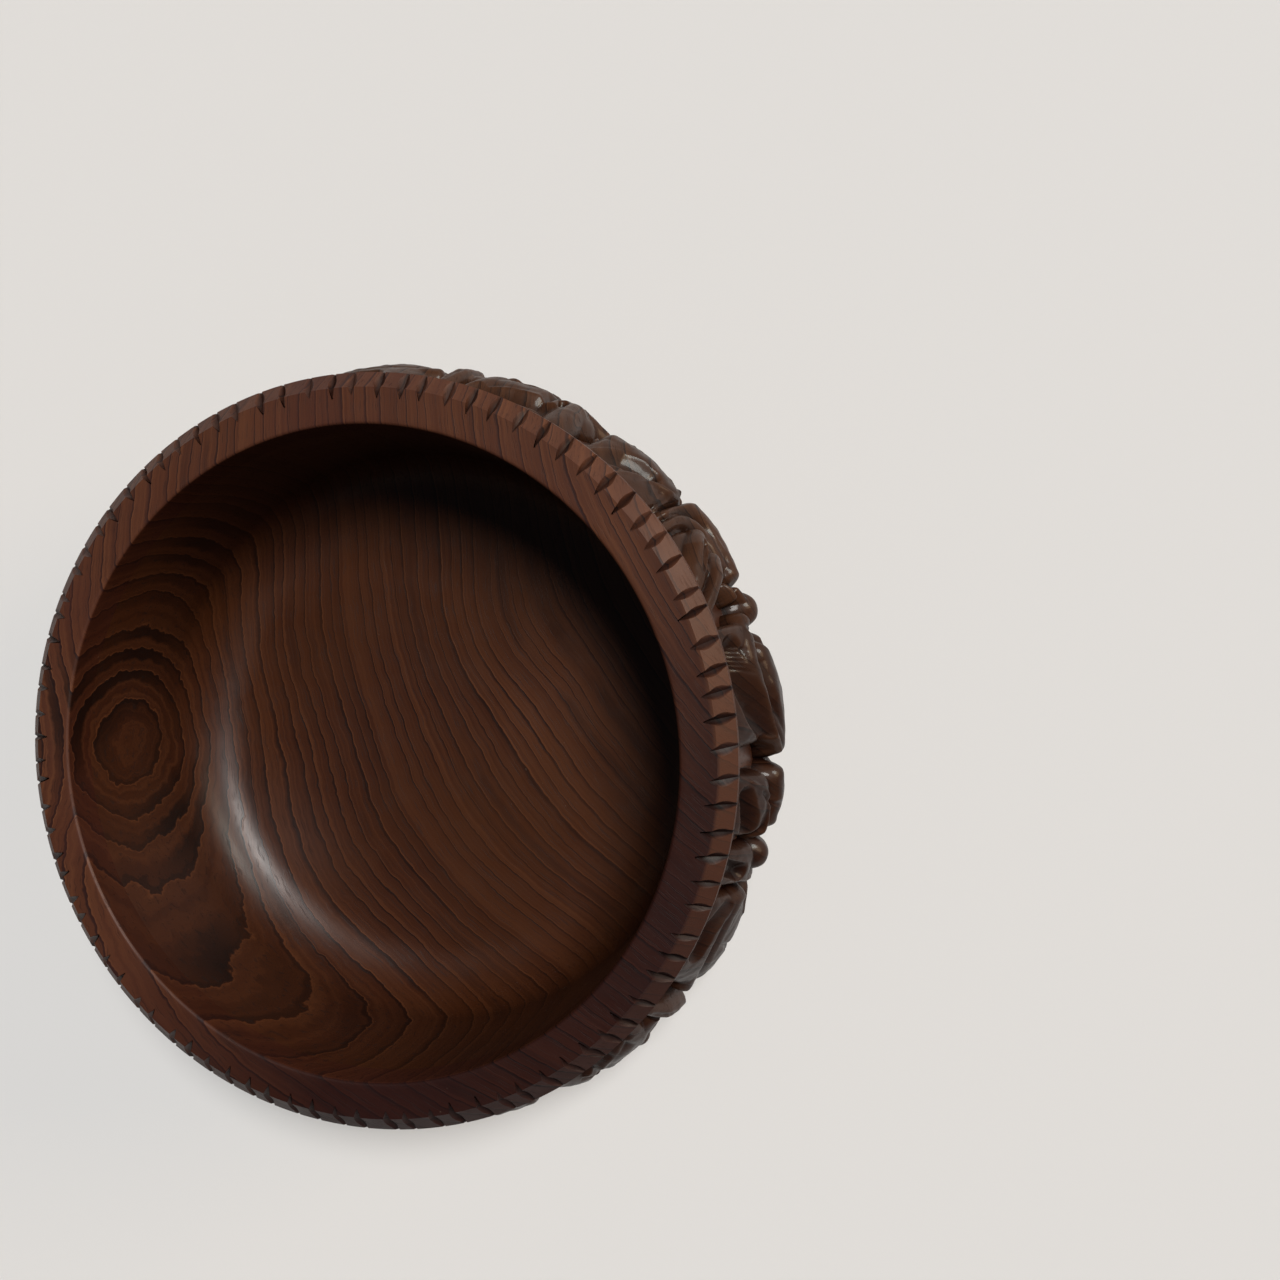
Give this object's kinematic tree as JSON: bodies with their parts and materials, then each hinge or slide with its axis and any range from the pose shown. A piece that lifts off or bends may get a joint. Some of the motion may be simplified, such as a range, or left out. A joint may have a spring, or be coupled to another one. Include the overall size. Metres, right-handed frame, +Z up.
{
  "type": "carved wooden bowl",
  "caption": "Low round wooden bowl with a flat floor, a wide notched rim and a bulging band of deeply carved leaves, scrolls and buds.",
  "frame": {"origin": "middle of the flat underside of the foot", "axes": "+Z up along the turning axis; +X and +Y across the bowl, level with the table"},
  "size_m": [0.145, 0.145, 0.05],
  "materials": {
    "turned_wood": "satin varnish",
    "rim_wood": "satin varnish",
    "carved_wood": "gloss varnish"
  },
  "bodies": {
    "root": {"ball_bud_1": "carved_wood", "ball_bud_2": "carved_wood", "ball_bud_3": "carved_wood", "bowl_body": "turned_wood", "broad_leaf_1": "carved_wood", "broad_leaf_2": "carved_wood", "broad_leaf_3": "carved_wood", "curled_leaf_1": "carved_wood", "curled_leaf_2": "carved_wood", "curled_leaf_3": "carved_wood", "fan_scroll_1": "carved_wood", "fan_scroll_2": "carved_wood", "fan_scroll_3": "carved_wood", "foot": "turned_wood", "leaf_tip_1": "carved_wood", "leaf_tip_2": "carved_wood", "leaf_tip_3": "carved_wood", "lobed_leaf_1": "carved_wood", "lobed_leaf_2": "carved_wood", "lobed_leaf_3": "carved_wood", "long_leaf_1": "carved_wood", "long_leaf_2": "carved_wood", "long_leaf_3": "carved_wood", "ribbed_leaf_1": "carved_wood", "ribbed_leaf_2": "carved_wood", "ribbed_leaf_3": "carved_wood", "rim_band": "rim_wood", "small_bud_1": "carved_wood", "small_bud_2": "carved_wood", "small_bud_3": "carved_wood"}
  },
  "joints": []
}
